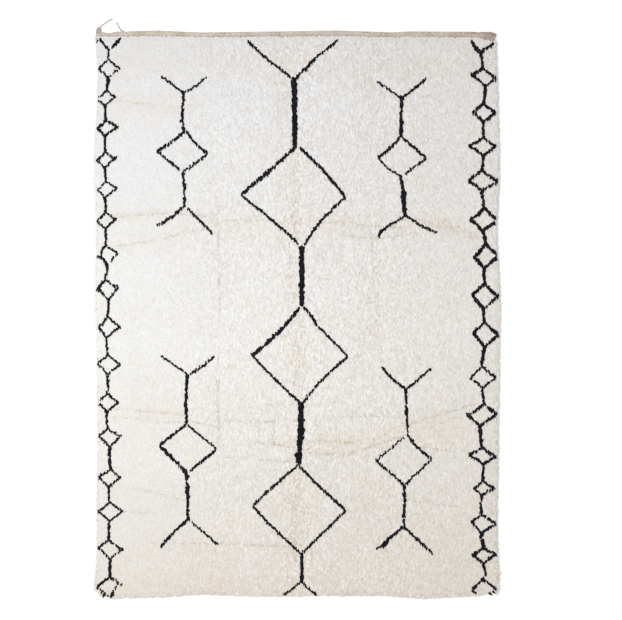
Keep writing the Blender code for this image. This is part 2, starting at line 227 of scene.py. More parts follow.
# Every other line: its two ends, its width, how ragged it is, and how far it bows to its left.
Stroke = namedtuple("Stroke", "x0 y0 x1 y1 width ragged bow", defaults=(0.2, 0))
STROKES = [Stroke(*row) for row in (
    # The borders' forks, and their stems and diamonds that are drawn stroke by stroke.
    (-1030, 1435, -985, 1380, 11), (-915, 1441, -963, 1385, 15, 0.7), (-978, 1378, -985, 1335, 15, 0.8),
    (-1039, 1427, -1040, 1415, 9, 0), (-995, 440, -993, 355, 12, 0.5), (-996, 354, -1016, 332, 12),
    (-1016, 332, -1020, 310, 14), (-1044, 299, -1020, 300, 12, 0.1), (-1020, 300, -990, 258, 13, 0.2, 4),
    (-990, 260, -988, 230, 15, 0.5), (-988, 230, -995, 190, 13, 0.7), (-986, 350, -936, 323, 9, 0.1),
    (-930, 318, -944, 305, 12, 0.3), (-952, 296, -970, 276, 12, 0.4), (-972, -1276, -974, -1368, 14, 0.5),
    (-980, -1370, -1042, -1422, 11, 0.4), (-970, -1370, -952, -1380, 12, 0.3), (-944, -1382, -932, -1390, 11),
    (-930, -1388, -934, -1404, 12), (-918, -1402, -913, -1408, 7), (-936, -1418, -946, -1424, 10),
    (-955, -1436, -957, -1442, 7), (-956, -1450, -968, -1476, 16), (-984, -1464, -985, -1472, 7),
    (-1022, -1428, -1040, -1431, 8), (-1006, -1438, -1022, -1449, 11), (-998, -1456, -1012, -1467, 14),
    (905, 1425, 953, 1362, 17, 0.4, -4), (1025, 1415, 958, 1366, 17, 0.3, 4), (955, 1370, 965, 1285, 14, 0.3),
    (970, -1306, 983, -1358, 16, 0.4), (968, -1368, 980, -1388, 14, 0.3), (966, -1379, 914, -1430, 12, 0.5),
    (911, -1438, 936, -1456, 12), (984, -1390, 1042, -1436, 11, 0.1), (1028, -1424, 1038, -1440, 15),
    (1022, -1440, 1028, -1450, 10), (998, -1448, 1016, -1460, 11),
    # The middle column.
    (-255, 1420, -30, 1235, 12, 0.3, -8), (215, 1425, 0, 1230, 13, 0.7, -10), (-15, 1225, -10, 870, 28, 0.3),
    (-8, 872, -290, 625, 19, 0.7, 6), (15, 865, 250, 610, 14, 0.2, 9), (-285, 615, 10, 365, 11, 0.1, 4),
    (250, 605, 40, 365, 14, 0.6, -15), (25, 355, 25, 45, 26, 0.3), (10, 30, -235, -215, 17, 0.5, 13),
    (35, 35, 105, -60, 14, 0.2, 4), (110, -65, 262, -216, 10), (-230, -220, 15, -460, 11, 0.2, -3),
    (265, -220, 30, -460, 11, 0.3, -12), (20, -460, 5, -775, 30, 0.55, 6), (5, -785, -230, -995, 12, 0.4, -3),
    (10, -790, 250, -1015, 12, 0.2, -4), (-230, -1000, 15, -1240, 11, 0.4, -4),
    (255, -1020, 25, -1243, 10, 0.3), (25, -1245, 25, -1395, 17, 0.4), (20, -1395, -70, -1465, 9, 0.6),
    (35, -1405, 105, -1465, 11, 1),
    # The figures beside it: upper left, lower left, upper right and lower right.
    (-705, 1235, -592, 1153, 9), (-470, 1235, -584, 1154, 9, 0.6, 6), (-590, 1155, -590, 945, 14, 0.6, -6),
    (-595, 945, -725, 850, 15, 0.8, 7), (-575, 950, -465, 835, 13, 0.2, -8), (-725, 845, -610, 750, 12),
    (-465, 835, -590, 745, 11, 1, 6), (-595, 740, -585, 560, 14, 0.7, 4), (-590, 560, -730, 460, 14, 0.5, 8),
    (-570, 550, -440, 420, 12), (-710, -215, -570, -310, 6, 0.1), (-430, -220, -555, -310, 11, 0.3, 5),
    (-570, -315, -575, -570, 15, 0.5, -4), (-575, -575, -715, -680, 14, 0.4),
    (-570, -575, -420, -700, 8, 0.1), (-710, -685, -585, -815, 15, 0.8), (-420, -705, -558, -816, 13, 0.3),
    (-578, -812, -567, -1068, 15, 0.6, 4), (-570, -1070, -710, -1210, 13, 0.4, -5),
    (-560, -1070, -410, -1200, 9, 0.6), (415, 1210, 534, 1132, 9), (670, 1225, 549, 1131, 11, 0.3, 5),
    (545, 1130, 540, 925, 18, 0.3), (535, 920, 420, 815, 14, 0.4, 8), (545, 920, 670, 815, 12),
    (425, 810, 544, 717, 8, 0.3, -8), (670, 810, 560, 730, 11, 0.7), (540, 715, 555, 635, 16, 0.3),
    (555, 635, 555, 595, 30, 0.5), (555, 595, 560, 510, 24, 0.5), (550, 505, 460, 450, 11),
    (460, 450, 425, 405, 16, 0.3, -4), (570, 510, 725, 425, 11, 0.2, -6), (440, -275, 564, -390, 11, 0.2, -6),
    (700, -280, 566, -392, 10, 0.4), (565, -388, 575, -615, 13, 0.6), (555, -640, 410, -760, 7, 0.9),
    (570, -625, 700, -755, 12, 0.2, -7), (410, -760, 555, -885, 10, 0.3), (700, -760, 565, -885, 11, 0.8, -4),
    (560, -890, 555, -1100, 14, 0.6), (550, -1105, 475, -1170, 14), (475, -1170, 440, -1210, 22, 0.4),
    (440, -1210, 410, -1220, 5, 0.1), (555, -1105, 705, -1245, 11, 0.3),
)]

# The heading: how far across the rug, its outer edge there, and its thickness.
HEADING_ROWS = [
    (-1010, 1472, 4.5), (-990, 1466, 4.5), (-968, 1467, 4.5), (-945, 1473, 5),
    (-889, 1474, 4.5), (-733, 1479, 5), (-499, 1469, 4.5), (-109, 1474, 5),
    (203, 1479, 4.5), (489, 1469, 5), (593, 1474, 4.5), (930, 1471, 5), (945, 1468, 5),
    (960, 1471, 5.5), (1005, 1470, 7), (1022, 1462, 7.5),
]
HEADING_GAP = 0.3 * MM
HEADING_CELL = (2.2 * MM, 13)
WARP_PITCH, WEFT_PITCH, WEAVE_RELIEF = 5.1 * MM, 3 * MM, 0.5 * MM
HEADING_PAST = 4 * MM  # beyond the pile, at its left end
CROWN, PUCKER = 1.2 * MM, 0.9 * MM
WEAVE_TONE = 0.64

# Its right end, which curls up along its outer edge and is browner towards the corner.
ROLLED_END, ROLL_OUT, ROLL_UP = 60 * MM, 9 * MM, 1.5 * MM
ROUNDED_END, ROUNDING = 6 * MM, 4 * MM
WORN_END, WORN_TONE = 220 * MM, -0.34
ROLL_TONE, ROLL_FADE = -0.30, (40 * MM, 10 * MM)
EDGE_TONES, EDGE_FADE = (-0.15, -0.53), 4 * MM  # along the outer edge's left half and at its right end

# Loose warp ends at the heading's left corner, by the points that they lie along.
YARN_RADIUS, YARN_SIDES = 3.7 * MM, 6
YARN_TWIST = 9 * MM  # length of one turn
PLY_SHARE = 0.55  # of its radius
LOOSE_FROM = 0.85  # of its length, where the plies part
YARNS = [
    [(-1028, 1486), (-1024, 1497), (-1014, 1509), (-998, 1517), (-979, 1531), (-962, 1537)],
    [(-883, 1461), (-903, 1474), (-917, 1481), (-926, 1494), (-934, 1509), (-941, 1521)],
    [(-1042, 1474), (-1045, 1462), (-1047, 1448), (-1048, 1436), (-1047, 1426)],
]
TAB_STRANDS, TAB_SIDES, TAB_GATHER = 7, (-1044, -1022), 0.3
TAB_FOOT, TAB_NECK, TAB_TOP, TAB_SLOPE = (1464, 1474), 1486, 1497, 12

rng = np.random.default_rng(SEED)


def chart(x, y):
    """A point of the chart, in millimetres, as a place in the frame."""
    return CHART_MIDDLE[0] + x * MM, CHART_MIDDLE[1] + y * MM


# ---- the frame's own shape


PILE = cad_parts["pile_field"].data
PILE_POINTS = np.array([vertex.co for vertex in PILE.vertices])
PILE_TREE = BVHTree.FromPolygons(PILE_POINTS.tolist(), [tuple(face.vertices) for face in PILE.polygons])


def read_sides(points):
    """The base's left, right, bottom and top edges, each as (places, values)."""
    base = points[points[:, 2] < 0.1 * MM]
    low, high = points.min(axis=0), points.max(axis=0)
    to_side = np.stack([base[:, 0] - low[0], high[0] - base[:, 0], base[:, 1] - low[1], high[1] - base[:, 1]])
    nearest = to_side.argmin(axis=0)
    sides = []
    for side in range(4):
        chosen = base[nearest == side]
        along, value = (1, 0) if side < 2 else (0, 1)
        order = chosen[:, along].argsort()
        sides.append((chosen[order, along], chosen[order, value]))
    return sides


SIDES = read_sides(PILE_POINTS)
left_of, right_of, bottom_of, top_of = [partial(np.interp, xp=places, fp=edge) for places, edge in SIDES]


def spread(low, high, share):
    return low + (high - low) * share


def fade(distance, reach):
    """From 1 at no distance to 0 past the reach."""
    return np.clip(1 - distance / reach, 0, 1)


def scatter(size, count):
    return rng.normal(0, size, count)


def span(row):
    """Where a charted line starts in the frame, and its run from there to its end."""
    start = np.array(chart(row.x0, row.y0))
    return start, np.array(chart(row.x1, row.y1)) - start


def add_object(name, data):
    item = bpy.data.objects.new(name, data)
    bpy.context.scene.collection.objects.link(item)
    return item


def rightward(x, y):
    """From 0 at the rug's left side to 1 at its right."""
    return ((x - left_of(y)) / (right_of(y) - left_of(y))).clip(0, 1)


def smooth_noise(x, y, rate, seed):
    """Smooth noise in about -1 to 1 at each point, with rate waves in a metre."""
    return np.array([noise.noise(Vector((a * rate, b * rate, seed))) for a, b in zip(x, y)])


def pile_tops(x, y):
    """The height of the frame's own lumpy pile over each point, or the rim's where there is none."""
    inside_x = np.clip(x, left_of(y) + RAY_INSET, right_of(y) - RAY_INSET)
    inside_y = np.clip(y, bottom_of(x) + RAY_INSET, top_of(x) - RAY_INSET)
    down = Vector((0, 0, -1))
    hits = [PILE_TREE.ray_cast(Vector((a, b, RAY_START)), down)[0] for a, b in zip(inside_x, inside_y)]
    return np.array([hit.z if hit else RIM_HEIGHT for hit in hits])


# ---- materials


def new_material(name):
    material = bpy.data.materials.new(name)
    material.use_nodes = True
    return material, material.node_tree, material.node_tree.nodes["Principled BSDF"]


def set_inputs(tree, node, inputs):
    """Set each input to its value, or link it from its socket."""
    for name, value in inputs.items():
        if isinstance(value, bpy.types.NodeSocket):
            tree.links.new(value, node.inputs[name])
        else:
            node.inputs[name].default_value = value


def add_node(tree, kind, inputs, **settings):
    node = tree.nodes.new("ShaderNode" + kind)
    for name, value in settings.items():
        setattr(node, name, value)
    set_inputs(tree, node, inputs)
    return node


def add_mark(tree, name):
    """A number that the mesh carries at its points."""
    return add_node(tree, "Attribute", {}, attribute_name=name).outputs["Fac"]


def add_coordinates(tree):
    return add_node(tree, "TexCoord", {}).outputs["Object"]


def add_ramp(tree, value, stops):
    ramp = add_node(tree, "ValToRGB", {"Fac": value})
    elements = ramp.color_ramp.elements
    for index, (place, color) in enumerate(stops):
        stop = elements[index] if index < 2 else elements.new(place)
        stop.position = place
        stop.color = (*color, 1)
    return ramp.outputs["Color"]


def add_noise(tree, coordinates, scale, stretch=(1, 1, 1), detail=2):
    mapped = add_node(tree, "Mapping", {"Vector": coordinates, "Scale": stretch}).outputs["Vector"]
    return add_node(tree, "TexNoise", {"Vector": mapped, "Scale": scale, "Detail": detail}).outputs["Fac"]


def add_bump(tree, height, strength, distance):
    inputs = {"Height": height, "Strength": strength, "Distance": distance}
    return add_node(tree, "Bump", inputs).outputs["Normal"]


def multiply(tree, first, second):
    """The product of two colours, through the mix node's colour sockets."""
    inputs = {"Factor": 1, 6: first, 7: second}
    return add_node(tree, "Mix", inputs, data_type="RGBA", blend_type="MULTIPLY").outputs[2]


def wool_material(name, stops, roughness, sheen, fibre_bump):
    """Spun wool: each tuft's tone through a ramp, mottled, with fibres along its lay."""
    material, tree, shader = new_material(name)
    coordinates = add_coordinates(tree)
    mottles = [(0.3, (0.92, 0.91, 0.885)), (0.7, (1, 1, 1))]
    mottle = add_ramp(tree, add_noise(tree, coordinates, 150), mottles)
    fibre = add_noise(tree, coordinates, 900, stretch=(1, 0.12, 0.5), detail=3)
    set_inputs(tree, shader, {
        "Roughness": roughness,
        "Sheen Weight": sheen,
        "Sheen Roughness": 0.6,
        "Specular IOR Level": 0.05,
        "Base Color": multiply(tree, add_ramp(tree, add_mark(tree, "tone"), stops), mottle),
        "Normal": add_bump(tree, fibre, fibre_bump, 0.6 * MM),
    })
    return material


def stain_and_shade(material, value, low, high, stops):
    """Multiply a material's colour by one that changes as a value goes from low to high."""
    tree = material.node_tree
    socket = tree.nodes["Principled BSDF"].inputs["Base Color"]
    color = socket.links[0].from_socket
    place = add_node(tree, "MapRange", {"Value": value, "From Min": low, "From Max": high})
    tree.links.new(multiply(tree, color, add_ramp(tree, place.outputs["Result"], stops)), socket)


def cream_wool():
    """Undyed wool: creamier in patches, painted shade at both ends, warmer at the bottom, partly as painted
    light.
    """
    tones = [(0, (0.604, 0.589, 0.56)), (0.45, (0.72, 0.713, 0.70)), (1, (0.878, 0.883, 0.899))]
    material = wool_material("cream_wool", tones, 0.9, 0.2, 0.35)
    tree = material.node_tree
    tints = [(0, (1, 1, 1)), (1, (0.97, 0.895, 0.79))]
    stain_and_shade(material, add_mark(tree, "tint"), *TINT_RANGE, tints)
    split = add_node(tree, "SeparateXYZ", {"Vector": add_coordinates(tree)})
    # Painted shade towards the rug's top and bottom; the warmer bottom is partly painted warm light.
    ends = [
        (0, (0.955, 0.904, 0.856)), (0.2, (0.97, 0.937, 0.906)), (0.45, (1, 0.982, 0.965)),
        (0.7, (0.975, 0.96, 0.958)), (0.88, (0.965, 0.95, 0.958)), (1, (0.93, 0.917, 0.923)),
    ]
    stain_and_shade(material, split.outputs["Y"], bottom_of(0), top_of(0), ends)
    return material


def dark_wool():
    """Blue-black wool with a few greyer ends."""
    stops = [(0, (0.008, 0.0075, 0.0105)), (0.6, (0.014, 0.0135, 0.018)), (1, (0.05, 0.05, 0.06))]
    return wool_material("dark_wool", stops, 0.95, 0, 0.35)


def ground_weave():
    """The plain woven wool ground, seen only between the tufts and from below."""
    material, tree, shader = new_material("ground_weave")
    coordinates = add_coordinates(tree)
    mottles = [(0.25, (0.62, 0.54, 0.45)), (0.75, (0.78, 0.71, 0.62))]
    weave = add_noise(tree, coordinates, 700, stretch=(0.35, 1, 1))
    set_inputs(tree, shader, {
        "Roughness": 0.95,
        "Specular IOR Level": 0.15,
        "Base Color": add_ramp(tree, add_noise(tree, coordinates, 60, detail=4), mottles),
        "Normal": add_bump(tree, weave, 0.6, 1 * MM),
    })
    return material


def flat_weave():
    """Beige weft-faced cloth in its own undyed yarns."""
    stops = [
        (0, (0.29, 0.20, 0.15)), (0.3, (0.42, 0.33, 0.27)),
        (0.55, (0.515, 0.444, 0.378)), (1, (0.66, 0.60, 0.53)),
    ]
    return wool_material("flat_weave", stops, 0.92, 0.2, 0.5)


# ---- the charted pattern


def border_strokes(rows):
    """A border's diamonds, whose sides bow inwards, and the stems that join each to the next."""
    previous = None
    for row in rows:
        top, bottom = (row.top_x, row.top_y), (row.bottom_x, row.bottom_y)
        if previous:
            bow = rng.uniform(-STEM_DRIFT, STEM_DRIFT)
            yield Stroke(*previous, *top, row.stem, rng.uniform(*STEM_RAGGED), bow)
        for side, inwards in (((row.left_x, row.left_y), 1), ((row.right_x, row.right_y), -1)):
            for start, end in ((top, side), (side, bottom)):
                bow = inwards * SIDE_BOW + rng.uniform(-SIDE_DRIFT, SIDE_DRIFT)
                yield Stroke(*start, *end, row.width, rng.uniform(*SIDE_RAGGED), bow)
        previous = bottom


Ink = namedtuple("Ink", "x y width slant ragged side_x side_y")


def ink_knots(strokes):
    """The dark knots of every stroke, which wander and are missing here and there."""
    columns = []
    for stroke in strokes:
        start, run = span(stroke)
        length = np.hypot(*run)
        slant = abs(run[0]) / length
        count = max(2, round(length / spread(*INK_STEPS, slant)))
        share = (np.arange(count) + 0.5 + scatter(0.16, count)) / count
        across = np.array([-run[1], run[0]]) / length
        wave = np.sin(share * length / INK_WAVE + rng.uniform(0, 2 * math.pi))
        off = stroke.bow * MM * np.sin(math.pi * share.clip(0, 1)) + INK_WANDER * 0.5 * wave
        off += scatter(spread(*INK_STRAY, stroke.ragged) * INK_WANDER, count)
        place = start + np.outer(share, run) + np.outer(off, across)
        width = 1 + scatter(spread(*INK_UNEVEN, stroke.ragged), count)
        width = stroke.width * MM * width.clip(0.5, 1.6)
        facts = np.tile([slant, stroke.ragged, *across], (count, 1))
        kept = rng.random(count) > INK_MISSING * stroke.ragged ** 1.5
        columns.append(np.column_stack([place, width, facts])[kept])
    return Ink(*np.concatenate(columns).T)


def corner_reach(x, y):
    """How much further the wool reaches out at the rug's squarest corner."""
    corner_x, corner_y = chart(*SQUARE_CORNER)
    return SQUARE_MORE * fade(np.hypot(x - corner_x, y - corner_y), SQUARE_REACH)


def ink_tufts(ink):
    """The dark tufts of each knot, as long and as many as its line is wide there."""
    rows = []
    for x, y, width, slant, ragged, side_x, side_y in zip(*ink):
        width = width * INK_SHARE + INK_COVER * min(1, slant / INK_SLANT)
        plain = INK_WIDTH * INK_FULL * math.sqrt(1 - slant ** 2)
        seen = np.clip((width - plain) / max(slant, 0.05), *INK_LENGTHS)
        room = max(0, width - plain - seen * slant)
        lanes = 1 + math.ceil(room / INK_LANE - 0.2)
        for off in np.linspace(-room / 2, room / 2, lanes) if lanes > 1 else [0]:
            rows.append((x + side_x * off, y + side_y * off, seen, ragged))
    x, y, seen, ragged = np.array(rows).T
    count = len(x)
    seen = seen * rng.uniform(0.75, 1.25, count)
    length = seen / (1 - INK_HIDDEN)
    x = x + scatter(1, count) * spread(*INK_JITTER, ragged)
    y = y + scatter(1.5 * MM, count)
    angle = lay_angles(x, y) + scatter(spread(*INK_SPLAY, ragged), count)
    tip_y = np.maximum(y - seen / 2, bottom_of(x) - INK_PAST[1])
    behind = length - seen / 2
    x = x - np.sin(angle) * behind
    y = np.minimum(y + np.cos(angle) * behind, top_of(x) + 1 * MM)
    length = (y - tip_y) / np.cos(angle)
    lift = spread(*INK_LIFT, ragged)
    tip_x = x + np.sin(angle) * length
    past = INK_PAST[0] + corner_reach(tip_x, tip_y)
    inside = (x > left_of(y)) & (x < right_of(y) + past) & (length > INK_LENGTHS[0] / 2)
    inside &= (tip_x > left_of(tip_y) - INK_PAST[0]) & (tip_x < right_of(tip_y) + past)
    width = INK_WIDTH * rng.uniform(0.75, 1.2, count)
    return lay_tufts(*[column[inside] for column in (x, y, angle, length, width, lift)])


def under_ink(x, y, ink):
    """Which cream tufts would lie on a dark line, by the middle of what shows of them."""
    tree = kdtree.KDTree(len(ink.x))
    for index, place in enumerate(zip(ink.x, ink.y)):
        tree.insert((*place, 0), index)
    tree.balance()
    covered = np.zeros(len(x), dtype=bool)
    for index, place in enumerate(zip(x, y - TUFT_LENGTH * SHOWN_SHARE)):
        _, nearest, distance = tree.find((*place, 0))
        covered[index] = distance < ink.width[nearest] * 0.5 + INK_MARGIN
    return covered


# ---- tufts


def fold_field(x, y):
    """How far the folds sink the pile at each point, turn its tufts aside and open it to creamier wool with
    painted shade.
    """
    sink, turn, creamy_and_shaded = np.zeros((3, len(x)))
    for fold in FOLDS:
        start, run = span(fold)
        share = ((x - start[0]) * run[0] + (y - start[1]) * run[1]) / (run @ run)
        share = share.clip(0, 1)
        off_x = x - start[0] - share * run[0]
        off_y = y - start[1] - share * run[1]
        near = np.exp(-(off_x ** 2 + off_y ** 2) / (fold.half_width * MM) ** 2)
        sink = np.maximum(sink, fold.sink * MM * near)
        turn += fold.part * near * np.tanh(off_x / PART_REACH)
        creamy_and_shaded = np.maximum(creamy_and_shaded, fold.part * near)
    return sink, turn, creamy_and_shaded


def wool_tint(x, y):
    """How creamy the wool is at each place, below 0 where it is bluish white."""
    drift_x = x + PATCH_DRIFT[0] * smooth_noise(x, y, rate=6, seed=51)
    drift_y = y + PATCH_DRIFT[1] * smooth_noise(x, y, rate=9, seed=57)
    tint = 0.8 * smooth_noise(x * 0.5, y, rate=20, seed=61)
    tint += 0.9 * smooth_noise(x * 0.6, y, rate=70, seed=67)
    tint += TINT_RIGHT * rightward(x, y) + TINT_CREASED * fold_field(x, y)[2]
    for patch in PATCHES:
        middle = chart(patch.x, patch.y)
        far_x = (drift_x - middle[0]) / (patch.half_x * MM)
        far_y = (drift_y - middle[1]) / (patch.half_y * MM)
        tint += patch.amount * np.exp(-far_x ** 2 - far_y ** 2)
    return tint


def lay_angles(x, y):
    """The lay's turn from straight down the rug, positive towards +X."""
    drift = smooth_noise(x, y, rate=4, seed=3) + 0.6 * smooth_noise(x, y, rate=14, seed=8)
    from_left, from_right = x - left_of(y), right_of(y) - x
    splay = EDGE_SPLAY * (fade(from_right, EDGE_REACH) ** 3 - fade(from_left, EDGE_REACH) ** 3)
    corner = fade(from_right, CORNER_REACH) - fade(from_left, CORNER_REACH)
    splay += CORNER_SPLAY * corner * fade(y - bottom_of(x), CORNER_REACH)
    return LEAN_DRIFT * drift + fold_field(x, y)[1] + splay


def lay_out(x, y, angle, length, bend_share):
    """The root, bend and tip of each tuft as laid on the floor, and the direction beside it."""
    flat = np.zeros(len(x))
    ahead = np.column_stack([np.sin(angle), -np.cos(angle), flat])
    beside = np.column_stack([np.cos(angle), np.sin(angle), flat])
    root = np.column_stack([x, y, flat])
    return root, root + ahead * (length * bend_share)[:, None], root + ahead * length[:, None], beside


def droop(tip):
    """How far a tip hangs down where it lies past the edge of the ground."""
    past = np.maximum.reduce([
        left_of(tip[:, 1]) - tip[:, 0],
        tip[:, 0] - right_of(tip[:, 1]),
        bottom_of(tip[:, 0]) - tip[:, 1],
    ])
    return np.clip(past, 0, DROOP_REACH) * DROOP_SHARE


def rings(root, bend, tip):
    centres = np.stack([root, bend, tip], axis=1)
    centres[..., 2] = np.maximum(centres[..., 2], TUFT_LOW)
    return centres


def wool_tops(places):
    """The height of the tips over each place, lower in the folds."""
    x, y = places[:, 0], places[:, 1]
    return pile_tops(x, y) - fold_field(x, y)[0]


def lay_tufts(x, y, angle, length, width, lift):
    """Ring centres, widths and side directions of tufts that lie on the pile."""
    root, bend, tip, beside = lay_out(x, y, angle, length, BEND_SHARE)
    thick = width * TUFT_THICKNESS
    root[:, 2] = wool_tops(root) - BODY_DEPTH - thick
    for ring, sunk, jitter in zip((bend, tip), SUNK_SHARES, TUFT_JITTER):
        ring[:, 2] = wool_tops(ring) + lift - thick * sunk + scatter(jitter, len(x))
    tip[:, 2] -= droop(tip)
    return rings(root, bend, tip), width, beside


def field_tufts(x, y):
    count = len(x)
    angle = lay_angles(x, y) + scatter(LEAN_SPREAD, count)
    length = TUFT_LENGTH * rng.uniform(0.88, 1.12, count)
    width = TUFT_WIDTH * rng.uniform(0.85, 1.15, count)
    return lay_tufts(x, y, angle, length, width, np.zeros(count))


def steps_along(side, pitch):
    return np.arange(SIDES[side][0].min() + pitch, SIDES[side][0].max(), pitch)


def rim_tufts():
    """A low fringe that hides the cut side of the wool on both sides and at the bottom."""
    ys, xs = steps_along(0, RIM_PITCH), steps_along(2, RIM_PITCH)
    turn = np.full(len(ys), SIDE_TURN)
    left = (left_of(ys) + RIM_INSET, ys, -turn)
    right = (right_of(ys) - RIM_INSET, ys, turn)
    bottom = (xs, bottom_of(xs) + RIM_INSET, 0 * xs)
    places = np.concatenate([left, right, bottom], axis=1).T
    count = len(places)
    places[:, :2] += scatter(1.2 * MM, (count, 2))
    length = RIM_LENGTH * rng.uniform(0.85, 1.1, count)
    length[:2 * len(ys)] *= RIM_SIDE_SHARE
    more = corner_reach(*places[:, :2].T)
    length += more
    places[:, 2] = spread(places[:, 2], SQUARE_TURN, more / SQUARE_MORE)
    places[:, 2] += scatter(LEAN_SPREAD, count)
    root, bend, tip, beside = lay_out(*places.T, length, RIM_BEND)
    for ring, heights in zip((root, bend, tip), RIM_LIFTS):
        ring[:, 2] = rng.uniform(*heights, count) * MM
    return rings(root, bend, tip), RIM_WIDTH * rng.uniform(0.85, 1.15, count), beside


def brow_tufts():
    """Short tufts: one row lies over the heading's edge, one closes the pile's top."""
    xs = steps_along(3, BROW_PITCH)
    over = (xs, top_of(xs) - BROW_INSETS[0], math.pi + scatter(0.5, len(xs)))
    under = (xs + BROW_PITCH / 2, top_of(xs) - BROW_INSETS[1], scatter(0.3, len(xs)))
    x, y, angle = np.concatenate([over, under], axis=1)
    count = len(x)
    length = BROW_LENGTH * rng.uniform(0.92, 1.08, count)
    length[len(xs):] *= 2
    width = BROW_WIDTH * rng.uniform(0.85, 1.2, count)
    return lay_tufts(x, y + scatter(1 * MM, count), angle, length, width, np.full(count, -BROW_DEPTH))


def crease_shade_tufts():
    """Shadow-toned tufts along the narrow creases: painted shade that shows them as thin broken lines."""
    places = []
    for fold in FOLDS:
        if fold.half_width > CREASE_HALF_WIDTH:
            continue
        start, run = span(fold)
        length = np.hypot(*run)
        count = int(length / CREASE_PITCH)
        share = (np.arange(count) + rng.random(count)) / count
        level = np.full(count, start[1])
        clusters = smooth_noise(start[0] + share * length, level, rate=14, seed=73)
        share = share[rng.random(count) < CREASE_ODDS[0] + fold.part + CREASE_ODDS[1] * clusters]
        angle = np.full(len(share), math.atan2(run[0], -run[1]))
        places.append(np.column_stack([start + np.outer(share, run), angle]))
    x, y, angle = np.concatenate(places).T
    count = len(x)
    y = y + CREASE_WANDER * smooth_noise(x, y * 0.2, rate=12, seed=71) + scatter(0.8 * MM, count)
    length = CREASE_LENGTH * rng.uniform(0.7, 1.3, count)
    width = CREASE_WIDTH * rng.uniform(0.7, 1.3, count)
    lift = CREASE_LIFT + scatter(CREASE_LIFT, count)
    return lay_tufts(x, y, angle + scatter(0.14, count), length, width, lift)


# A tuft's rings have three points each, placed to the side and up in ring sizes. Its faces join them.
RING = np.array([(-0.5, -0.35), (0.5, -0.35), (0, 0.65)])
QUADS = np.array([(0, 1, 4, 3), (1, 2, 5, 4), (2, 0, 3, 5), (3, 4, 7, 6), (4, 5, 8, 7), (5, 3, 6, 8)])
CAPS = np.array([(2, 1, 0), (6, 7, 8)])
CELL = np.array([(0, 0), (1, 0), (1, 1), (0, 1)])  # of the UV map
FACE_SIZE, CELL_MARGIN = (0.25, 0.5), 0.08  # in that cell


def tuft_mesh(name, tufts, marks, material):
    """One mesh of closed tufts, each with its own marks and its own small UV cell."""
    centres, widths, beside = tufts
    sizes = np.outer(widths, TUFT_SIZES)
    offsets = beside[:, None, None, :] * RING[:, :1] * sizes[:, :, None, None]
    offsets[..., 2] += RING[:, 1] * (sizes * TUFT_THICKNESS)[:, :, None]
    points = (centres[:, :, None, :] + offsets).reshape(-1, 3)
    points[:, 2] = np.maximum(points[:, 2], POINT_LOW)
    first = np.arange(0, len(points), len(RING) * len(TUFT_SIZES))[:, None, None]
    faces = (first + QUADS).reshape(-1, 4).tolist() + (first + CAPS).reshape(-1, 3).tolist()
    mesh = bpy.data.meshes.new(name)
    mesh.from_pydata(points, [], faces)
    for mark, values in marks.items():
        attribute = mesh.attributes.new(mark, "FLOAT", "POINT")
        attribute.data.foreach_set("value", np.repeat(values.ravel(), len(RING)))
    add_cells(mesh, len(widths))
    mesh.shade_smooth()
    mesh.set_sharp_from_angle(angle=TUFT_EDGE)
    mesh.materials.append(material)
    return add_object(name, mesh)


def ring_tones(tone, contrast):
    """Each tuft's tone at its root, darker as painted shade deep in the pile, its bend and its tip."""
    tips = np.outer(contrast * scatter(1, len(tone)), [0, -0.5, 1])
    return (tone[:, None] + np.array(ROOT_SHADE_TONES) + tips).clip(0, 1)


def add_cells(mesh, count):
    """A UV map with a cell for each tuft: its faces three across and two up, then its caps."""
    across = math.ceil(math.sqrt(count))
    places = np.stack([np.arange(count) % across, np.arange(count) // across], axis=1) * (1 / across)
    quads = [CELL + (face % 3, face // 3) for face in range(len(QUADS))]
    caps = [CELL[:3] + (3, cap) for cap in range(len(CAPS))]
    parts = []
    for part in (quads, caps):
        inner = spread(CELL_MARGIN, 1 - CELL_MARGIN, np.concatenate(part) * FACE_SIZE)
        parts.append((places[:, None, :] + inner * (1 / across)).ravel())
    layer = mesh.uv_layers.new(name="OFBake")
    layer.data.foreach_set("uv", np.concatenate(parts))


def knot_places():
    """Rows of knots over the whole pile, every other row shifted, each a little astray."""
    low = (SIDES[0][1].min(), SIDES[2][1].min())
    high = (SIDES[1][1].max(), SIDES[3][1].max())
    xs = np.arange(low[0], high[0], KNOT_PITCH)
    ys = np.arange(low[1] + KNOT_INSET, high[1], ROW_PITCH)
    x, y = np.meshgrid(xs, ys)
    x = x + (np.arange(len(ys)) % 2)[:, None] * KNOT_PITCH / 2
    x = (x + scatter(KNOT_JITTER[0], x.shape)).ravel()
    y = (y + scatter(KNOT_JITTER[1], y.shape)).ravel()
    inside = (x > left_of(y) + KNOT_INSET) & (x < right_of(y) - KNOT_INSET)
    inside &= (y > bottom_of(x) + BOTTOM_INSET) & (y < top_of(x) - KNOT_INSET)
    return x[inside], y[inside]


def cream_tones(x, y):
    """Each tuft's tone: evener on the left, streaked across the rug, darker in its creases as painted shade.
    """
    tone = CREAM_TONE + 0.04 * smooth_noise(x, y, rate=3, seed=21)
    tone += 0.05 * smooth_noise(x * 0.3, y, rate=40, seed=29)
    creamy_and_shaded = fold_field(x, y)[2]
    across = rightward(x, y)
    contrast = np.interp(across, TONE_PLACES, TONE_CONTRAST) + CREASE_CONTRAST * creamy_and_shaded
    middle = np.exp(-((across - 0.5) / MIDDLE_HALF) ** 2)
    middle *= np.clip((y - MIDDLE_FOOT) / MIDDLE_RISE, 0, 1)
    tone += MIDDLE_TONE * middle + PAINTED_CREASE_SHADE * creamy_and_shaded
    return tone + contrast * scatter(1, len(x))


# ---- woven pieces


def finish_mesh(name, bm, material):
    bmesh.ops.recalc_face_normals(bm, faces=bm.faces)
    mesh = bpy.data.meshes.new(name)
    bm.to_mesh(mesh)
    bm.free()
    mesh.shade_smooth()
    mesh.set_sharp_from_angle(angle=math.radians(50))
    mesh.materials.append(material)
    return add_object(name, mesh)


